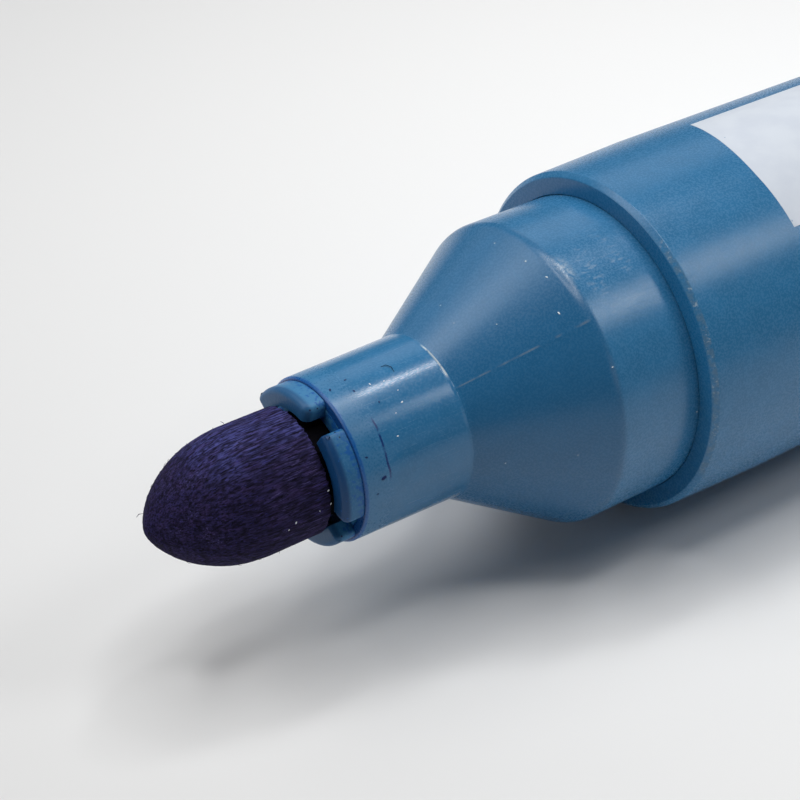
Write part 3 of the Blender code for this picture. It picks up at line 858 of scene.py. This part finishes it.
# %% The print panel
PANEL_FRONT = MOUTH_X + 6.4 * MM
PANEL_LENGTH = 62.0 * MM
PANEL_FROM, PANEL_TO = 50.4, 107.4
PANEL_STEPS = 48
PANEL_LEAN = 0.8 * MM
PANEL_LEAN_FROM = 69.0
PANEL_LEAN_POWER = 1.6
INK_FILM = 0.012 * MM
PRINT_WHITE = (0.67, 0.72, 0.79)
PRINT_GREY = (0.62, 0.67, 0.75)


def white_print():
    """White printing ink, a little uneven, with the blue faintly showing through."""
    finish = Finish("print_white", IOR=1.45, Specular_IOR_Level=0.45)
    cloudy = finish.noise(1.3, detail=4)
    grain = finish.noise(0.08)
    colour = finish.mix(finish.span(cloudy, 0.3, 0.7), PRINT_GREY, PRINT_WHITE)
    pinholes = finish.specks(0.6, 0.05, 0.10)
    colour = finish.mix(finish.times(pinholes, 0.6), colour, PALE_BLUE)
    return finish.done(colour, finish.mix(grain, 0.34, 0.48), finish.bump(grain, 0.0015))


panel_shape = bmesh.new()
panel_ends = []
for along in (PANEL_FRONT, PANEL_FRONT + PANEL_LENGTH):
    panel_ends.append(panel_shape.verts.new(on_axis(along, BARREL_RADIUS, PANEL_FROM)))
panel_edge = panel_shape.edges.new(panel_ends)
bmesh.ops.spin(
    panel_shape,
    geom=[panel_edge, *panel_ends],
    angle=math.radians(PANEL_TO - PANEL_FROM),
    steps=PANEL_STEPS,
    **ROUND_AXIS,
)
for vert in panel_shape.verts:
    _, angle = radius_and_angle(vert)
    if vert.co.x < PANEL_FRONT + WELD and angle > PANEL_LEAN_FROM:
        up_the_side = (angle - PANEL_LEAN_FROM) / (PANEL_TO - PANEL_LEAN_FROM)
        vert.co.x += PANEL_LEAN * up_the_side**PANEL_LEAN_POWER
panel_shape.normal_update()
bmesh.ops.solidify(panel_shape, geom=panel_shape.faces[:], thickness=-INK_FILM)
add_piece("print_panel", panel_shape, white_print(), weighted=False)

# %% [markdown]
# ## Traces of use
# Dust, dried ink and a few stray fibres make the marker look handled, and a fuzz of fibre ends softens the
# felt. A texture could do this, but a solid can be put at one place and casts a shadow. A speck is a
# flattened ball, given by its millimetres from the rim, its angle and its size, and a hair a thin tube.

# %% Dust and specks of ink
DUST_PLACES = [
    (1.97, 74.6, 0.06), (2.55, 72.7, 0.05), (2.70, 54.6, 0.07), (2.82, 62.9, 0.04),
    (1.92, 35.8, 0.06), (2.24, 49.6, 0.04), (6.60, 99.3, 0.06), (6.19, -4.0, 0.06),
    (9.55, 81.6, 0.08), (9.68, 70.8, 0.08), (9.30, 56.8, 0.09), (9.48, 99.0, 0.06),
    (7.39, 67.5, 0.05), (10.20, 31.7, 0.06), (-3.03, -7.1, 0.06), (-2.71, -2.7, 0.07),
    (-1.16, 14.2, 0.06), (-1.12, 1.4, 0.06), (-1.63, -1.2, 0.04),
]
INK_PLACES = [
    (0.88, 13.9, 0.16), (1.27, 85.6, 0.08), (1.22, 74.4, 0.08), (1.84, 60.4, 0.07),
    (0.44, 82.5, 0.10), (0.36, 31.0, 0.08), (0.52, 4.5, 0.07),
]
SPECK_SHAPE = (1.5, 0.8, 0.4, 1)
SIZE_PER_RADIUS = 1.6
SPECK_SWING = 40
DUST_WHITE = (0.80, 0.84, 0.88)


def outer_radius(along):
    """The radius of the nib, the tube, the cone or the collar at a distance along the axis."""
    if along < LUG_FRONT:
        return dome_radius(along)
    if along < CREASE_X:
        return TUBE_RADIUS + TUBE_DRAFT * (along - RIM_X) / (CREASE_X - RIM_X)
    share = min(1.0, (along - CREASE_X) / (SHOULDER_X - CREASE_X))
    return TUBE_RADIUS + TUBE_DRAFT + share * (COLLAR_RADIUS - TUBE_RADIUS - TUBE_DRAFT)


def on_surface(from_rim, degrees, lift=0.0):
    """A point on the marker, or a little above it; both lengths are in millimetres."""
    along = RIM_X + from_rim * MM
    return on_axis(along, outer_radius(along) + lift * MM, degrees)


def speck_finish(name, first, second, **look):
    """A matt finish that wavers between two shades."""
    finish = Finish(name, **look)
    return finish.done(finish.mix(finish.noise(0.05), first, second))


def flat_specks(places):
    """Flattened balls on the surface, each with its own turn."""
    shape = bmesh.new()
    for from_rim, degrees, size in places:
        place = Matrix.Translation(on_surface(from_rim, degrees))
        lean = Matrix.Rotation(math.radians(90 - degrees), 4, "X")
        flat = Matrix.Diagonal(SPECK_SHAPE)
        swing = Matrix.Rotation(math.radians(SPECK_SWING * degrees), 4, "Z")
        radius = size * MM / SIZE_PER_RADIUS
        bmesh.ops.create_icosphere(shape, subdivisions=1, radius=radius, matrix=place @ lean @ swing @ flat)
    return shape


pale_dust = speck_finish("pale_dust", DUST, DUST_WHITE, Roughness=0.9)
dried_ink = speck_finish("dried_ink", INK_SPECK, DARK_INK_AND_SHADE, Roughness=0.6, Specular_IOR_Level=0.2)
add_piece("dust_specks", flat_specks(DUST_PLACES), pale_dust, weighted=False)
add_piece("ink_specks", flat_specks(INK_PLACES), dried_ink, weighted=False)

# %% Stray fibres
HAIR_RADIUS = 0.014 * MM
HAIR_SIDES = 6
FUZZ_RADIUS = 0.008 * MM
FUZZ_COUNT = 90
FUZZ_SEED = 7
FUZZ_FROM, FUZZ_TO = 0.3 * MM, 6.4 * MM
FUZZ_REACH = 0.2 * MM
FUZZ_SWING = 3
FUZZ_LOW, FUZZ_HIGH = 0.02 * MM, 0.08 * MM
FUZZ_ROOT = -0.02 * MM
# Lint: mm from the rim, degrees and lift in mm. The others: mm from the tip, radius in mm and degrees.
LINT = [(2.89, 84.1, 0.01), (3.09, 83.4, 0.05), (3.20, 80.0, 0.06), (3.18, 76.1, 0.01)]
TIP_FIBRE = [(0.18, 0.72, 116), (0.08, 0.73, 134), (0.02, 0.70, 151)]
SPUR = [(4.50, 2.66, 122), (4.47, 2.77, 122), (4.38, 2.85, 122)]


def hair(points, thickness=HAIR_RADIUS):
    """A thin tube through some points, with closed ends."""
    shape = bmesh.new()
    rings = []
    last = len(points) - 1
    for number, point in enumerate(points):
        ahead = points[min(number + 1, last)] - points[max(number - 1, 0)]
        place = Matrix.Translation(point) @ ahead.to_track_quat("Z", "Y").to_matrix().to_4x4()
        at_end = number in (0, last)
        ring = dict(segments=HAIR_SIDES, radius=thickness * (0.5 if at_end else 1.0), matrix=place)
        made = bmesh.ops.create_circle(shape, cap_ends=at_end, **ring)
        rings.append({edge for vert in made["verts"] for edge in vert.link_edges})
    for first, second in zip(rings, rings[1:]):
        bmesh.ops.bridge_loops(shape, edges=[*first, *second])
    bmesh.ops.recalc_face_normals(shape, faces=shape.faces)
    return shape


def fuzz():
    """Ends of fibres that stand a little off the felt, each with its own place and lean."""
    chance = random.Random(FUZZ_SEED)
    made = []
    for _ in range(FUZZ_COUNT):
        along = TIP_X + chance.uniform(FUZZ_FROM, FUZZ_TO)
        degrees = chance.uniform(0, 360)
        reach = chance.uniform(-FUZZ_REACH, FUZZ_REACH)
        swing = chance.uniform(-FUZZ_SWING, FUZZ_SWING)
        lift = chance.uniform(FUZZ_LOW, FUZZ_HIGH)
        points = []
        for share, height in ((0, FUZZ_ROOT), (0.5, 0.7 * lift), (1, lift)):
            there = along + share * reach
            points.append(on_axis(there, dome_radius(there) + height, degrees + share * swing))
        made.append(hair(points, FUZZ_RADIUS))
    return made


strays = [[on_surface(*place) for place in LINT]]
for places in (TIP_FIBRE, SPUR):
    strays.append([on_axis(TIP_X + back * MM, radius * MM, angle) for back, radius, angle in places])
hair_shapes = [hair(points) for points in strays] + fuzz()
add_piece("stray_fibres", join(hair_shapes), felt, weighted=False)

# %% [markdown]
# ## The tail
# A plug closes the barrel's rear, and its post carries the cap while the marker is in use. Two cylinders
# would do, but one turned outline gives the plug's cup, its lead-in and the post's soft end in one mesh.

# %% The tail plug
PLUG_CUP = 5.5 * MM
POST_ROUND = 0.8 * MM

plug_corners = [
    (plug_low.x + PLUG_CUP, 0.0),
    (plug_low.x + PLUG_CUP, SPIGOT_BORE),
    (plug_low.x, SPIGOT_BORE),
    (plug_low.x, COLLAR_RADIUS - LEAD_IN),
    (plug_low.x + LEAD_IN, COLLAR_RADIUS),
    (plug_high.x, COLLAR_RADIUS, POST_ROUND),
    (plug_high.x, 0.0),
]
add_piece("tail_post", turned(plug_corners), plain_blue, "tail_plug")

# %% [markdown]
# ## The cap and its clip
# The cap is a turned cup with a soft closed end. In the middle of that end is the small dimple where
# the plastic entered the mould. The clip is an outline seen from the side, extruded to its width, with all
# edges bevelled, and turned to where it leans on the floor.

# %% The cap
CAP_BORE = 6.84 * MM
CAP_WALL = 1.6 * MM
CAP_ROUND = 1.2 * MM
CAP_LIP = 0.15 * MM
GATE_RADIUS = 1.1 * MM
GATE_DEPTH = 0.18 * MM
GATE_ROUND = 0.08 * MM

cap_corners = [
    (cap_high.x - CAP_WALL, 0.0),
    (cap_high.x - CAP_WALL, CAP_BORE),
    (cap_low.x, CAP_BORE, CAP_LIP),
    (cap_low.x, BARREL_RADIUS, BARREL_EDGE),
    (cap_high.x, BARREL_RADIUS, CAP_ROUND),
    (cap_high.x, GATE_RADIUS, GATE_ROUND),
    (cap_high.x - GATE_DEPTH, GATE_RADIUS - GATE_DEPTH, GATE_ROUND),
    (cap_high.x - GATE_DEPTH, 0.0),
]
cap_cup = turned(cap_corners)
print(f"cap: {len(cap_cup.verts)} vertices before its clip")

# %% The clip, and the cap as one piece
CLIP_INNER = BARREL_RADIUS + 1.2 * MM
CLIP_OUTER = CLIP_INNER + 1.3 * MM
CLIP_WIDTH = 4.4 * MM
CLIP_LENGTH = 27.0 * MM
CLIP_ROOT = 4.0 * MM
CLIP_INSET = 0.4 * MM
CLIP_SINK = 0.5 * MM
CLIP_FILLET = 0.4 * MM
CLIP_NIP = 0.6 * MM
CLIP_NIP_LENGTH = 3.0 * MM
CLIP_DROP = math.radians(36.87)


def clip_shape():
    """The clip's side outline, widened, rounded and turned below the horizontal on the far side."""
    root_end = cap_high.x - CAP_ROUND - CLIP_INSET
    free_end = root_end - CLIP_LENGTH
    foot = BARREL_RADIUS - CLIP_SINK
    outline = [
        (root_end, CLIP_OUTER),
        (root_end, foot),
        (root_end - CLIP_ROOT, foot),
        (root_end - CLIP_ROOT, CLIP_INNER),
        (free_end + CLIP_NIP_LENGTH, CLIP_INNER),
        (free_end + CLIP_NIP_LENGTH / 2, CLIP_INNER - CLIP_NIP),
        (free_end, CLIP_INNER),
        (free_end, CLIP_OUTER),
    ]
    shape = bmesh.new()
    side = shape.faces.new([shape.verts.new((x, -CLIP_WIDTH / 2, out)) for x, out in outline])
    grown = bmesh.ops.extrude_face_region(shape, geom=[side])["geom"]
    moved = [item for item in grown if isinstance(item, bmesh.types.BMVert)]
    bmesh.ops.translate(shape, vec=(0, CLIP_WIDTH, 0), verts=moved)
    bmesh.ops.recalc_face_normals(shape, faces=shape.faces)
    bevel_edges(shape, shape.edges[:], CLIP_FILLET, 6)
    below = Matrix.Rotation(-math.pi / 2 - CLIP_DROP, 3, "X")
    bmesh.ops.rotate(shape, matrix=below, verts=shape.verts)
    bmesh.ops.translate(shape, vec=(0, AXIS.y, AXIS.z), verts=shape.verts)
    return shape


cap_whole = join([cap_cup, clip_shape()])
add_piece("cap_with_clip", cap_whole, plain_blue, "cap_shell", "cap")

# %% [markdown]
# Inside the cap a cup of uncoloured plastic closes on the nozzle, so that the ink can't dry. It is turned
# too. A little subsurface scattering makes it milky, which is cheaper than real transparency.

# %% The seal cup inside the cap
SEAL_BORE = 3.63 * MM
SEAL_RADIUS = 4.43 * MM
SEAL_FLOOR = 1.2 * MM
SEAL_LEAD = 0.3 * MM
SEAL_ROOT = 0.3 * MM
SEAL_LIP = 0.06 * MM
SEAL_RIM = 0.15 * MM
FLANGE_LENGTH = 2.0 * MM
FLANGE_RADIUS = (seal_high.z - seal_low.z) / 2
NATURAL = (0.62, 0.63, 0.61)
NATURAL_PALE = (0.74, 0.75, 0.73)


def natural_plastic():
    """Uncoloured plastic, milky and a little cloudy."""
    finish = Finish("milky_plastic", IOR=1.5, Subsurface_Weight=0.15)
    finish.shader.inputs["Subsurface Radius"].default_value = (0.6 * MM, 0.6 * MM, 0.5 * MM)
    cloudy = finish.noise(1.5, detail=3)
    colour = finish.mix(cloudy, NATURAL, NATURAL_PALE)
    rough = finish.mix(finish.noise(0.2), 0.38, 0.55)
    return finish.done(colour, rough, finish.bump(finish.noise(0.3), 0.002))


seal_corners = [
    (seal_high.x - SEAL_FLOOR, 0.0),
    (seal_high.x - SEAL_FLOOR, SEAL_BORE),
    (seal_low.x + SEAL_LEAD, SEAL_BORE),
    (seal_low.x, SEAL_BORE + SEAL_LEAD, SEAL_LIP),
    (seal_low.x, SEAL_RADIUS, SEAL_RIM),
    (seal_high.x - FLANGE_LENGTH, SEAL_RADIUS, SEAL_ROOT),
    (seal_high.x - FLANGE_LENGTH, FLANGE_RADIUS, SOFT),
    (seal_high.x, FLANGE_RADIUS, SOFT),
    (seal_high.x, 0.0),
]
seal = turned(seal_corners)
add_piece("seal_cup", seal, natural_plastic(), "cap_inner_seal", "cap")

# %% [markdown]
# ## The pieces inside
# The fibre rod and its film are sealed in the barrel. Their plain solids are right as they are, so they
# keep the frame's meshes and only get a finish.

# %% Finishes for the reservoir and its film
RESERVOIR_DARK = (0.010, 0.011, 0.070)
RESERVOIR_PALE = (0.040, 0.042, 0.190)
FILM_GREY = (0.55, 0.59, 0.63)
FILM_PALE = (0.68, 0.72, 0.76)


def streaked(name, shades, roughness, depth, **streaks):
    """A finish whose colour, roughness and height follow one noise that runs along the axis."""
    finish = Finish(name, IOR=1.5)
    strands = finish.noise(**streaks)
    colour = finish.mix(strands, *shades)
    rough = finish.mix(strands, *roughness)
    return finish.done(colour, rough, finish.bump(strands, depth))


fibre = dict(size=0.08, detail=3, stretch=20)
inked_fibre = streaked("fibre_with_ink", (RESERVOIR_DARK, RESERVOIR_PALE), (0.9, 0.9), 0.02, **fibre)
creases = dict(size=0.5, detail=4, stretch=6)
clear_film = streaked("film_clear", (FILM_GREY, FILM_PALE), (0.12, 0.28), 0.01, **creases)
for node, material in (("ink_reservoir", inked_fibre), ("reservoir_wrap", clear_film)):
    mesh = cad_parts[node].data
    mesh.materials.clear()
    mesh.materials.append(material)
    print(f"{node}: keeps its CAD mesh, finish {material.name}")

# %% [markdown]
# ## Floor, world and lamps
# The marker lies on a white sheet, painted as a pool of light: whitest under the marker's middle and greyer
# away from it. A ring lamp overhead, here a ring of small round lamps, makes the main shadow. A small lamp
# high at the right gives the narrow streak along the tube, and a broader one the pale band below it. Wide
# soft lamps light the upper sides from behind. The world is nearly dark, so that the shadows stay deep. A
# lamp is given by its azimuth, elevation, width and watts.

# %% Floor
FLOOR_SIZE = 6.0
FLOOR_DROP = 0.01 * MM
FLOOR_WHITE = (0.92, 0.92, 0.915)
FLOOR_PAINTED_DIM_GREY = (0.53, 0.53, 0.53)
LIGHT_POOL_CENTRE = Vector((-19.4, 4.0, 0.0)) * MM
LIGHT_POOL_RADIUS = 111 * MM


def paper_white():
    """Matt white sheet with a painted pool of light: whitest under the marker's middle, greyer away from
    it.
    """
    finish = Finish("paper_white", Roughness=0.9, Specular_IOR_Level=0.1)
    # Painted pool of light: the sheet turns grey away from the marker's middle.
    away = finish.add("VectorMath", {0: finish.place, 1: LIGHT_POOL_CENTRE}, operation="DISTANCE")
    painted_falloff = finish.span(away.outputs["Value"], 0.0, LIGHT_POOL_RADIUS)
    return finish.done(finish.mix(painted_falloff, FLOOR_WHITE, FLOOR_PAINTED_DIM_GREY))


floor_shape = bmesh.new()
bmesh.ops.create_grid(floor_shape, x_segments=1, y_segments=1, size=FLOOR_SIZE / 2)
bmesh.ops.translate(floor_shape, vec=(0, 0, -FLOOR_DROP), verts=floor_shape.verts)
floor = add_object("floor", floor_shape, paper_white())
print(f"floor {FLOOR_SIZE} m wide")

# %% World and lamps
WORLD_GREY = (0.038, 0.038, 0.039)
LAMP_CENTRE = Vector((RIM_X - 6.6 * MM, AXIS.y, 0.0))
LAMP_DISTANCE = 1.2
RING_LAMPS = 16
RING_MIDDLE = Vector((0.10, 0.049, 1.0))
RING_SLOPE = 0.294
RING_WATTS = 8.3
RING_WIDTH = 9
SKY_LAMPS = [
    ("overhead", 26.565, 83.621, 10, 0.35),
    ("streak", 19, 61, 6, 0.95),
    ("broad", -34, 44.5, 16, 1.75),
    ("back_right", 50, 34, 26, 0.65),
    ("back", 105, 48, 26, 1.05),
    ("back_low", 90, 25, 26, 0.35),
    ("back_left", 140, 50, 30, 3.6),
    ("left", 165, 28, 34, 2.4),
    ("near", 285, 18, 26, 0.52),
]

world = bpy.data.worlds.new("studio")
bpy.context.scene.world = world
world.use_nodes = True
world.node_tree.nodes["Background"].inputs["Color"].default_value = (*WORLD_GREY, 1)


def add_lamp(name, towards, width, watts):
    """A round soft lamp that looks at the marker's front; from there it is width degrees wide."""
    data = bpy.data.lights.new(name, "AREA")
    data.shape = "DISK"
    data.size = 2 * LAMP_DISTANCE * math.tan(math.radians(width / 2))
    data.energy = watts
    lamp = bpy.data.objects.new(name, data)
    lamp.location = LAMP_CENTRE + towards.normalized() * LAMP_DISTANCE
    lamp.rotation_mode = "QUATERNION"
    lamp.rotation_quaternion = (-towards).to_track_quat("-Z", "Y")
    bpy.context.scene.collection.objects.link(lamp)


def sky(azimuth, elevation):
    """The direction of a place in the sky; azimuth 0 is along +X and 90 along +Y."""
    turn, rise = math.radians(azimuth), math.radians(elevation)
    return Vector((math.cos(rise) * math.cos(turn), math.cos(rise) * math.sin(turn), math.sin(rise)))


for number in range(RING_LAMPS):
    turn = math.tau * number / RING_LAMPS
    towards = RING_MIDDLE + RING_SLOPE * Vector((math.cos(turn), math.sin(turn), 0))
    add_lamp(f"ring_{number}", towards, RING_WIDTH, RING_WATTS / RING_LAMPS)
for name, azimuth, elevation, width, watts in SKY_LAMPS:
    add_lamp(name, sky(azimuth, elevation), width, watts)
print(f"ring of {RING_LAMPS} lamps and {len(SKY_LAMPS)} others at {LAMP_DISTANCE} m")

# %% [markdown]
# ## Hand over
# The picture is shown without a film curve, so that a colour comes out about as it is written. The two
# boxes are kept for comparison: the dressed marker must not outgrow the model.

# %% View settings, sizes and the table
bpy.context.scene.view_settings.view_transform = "Standard"
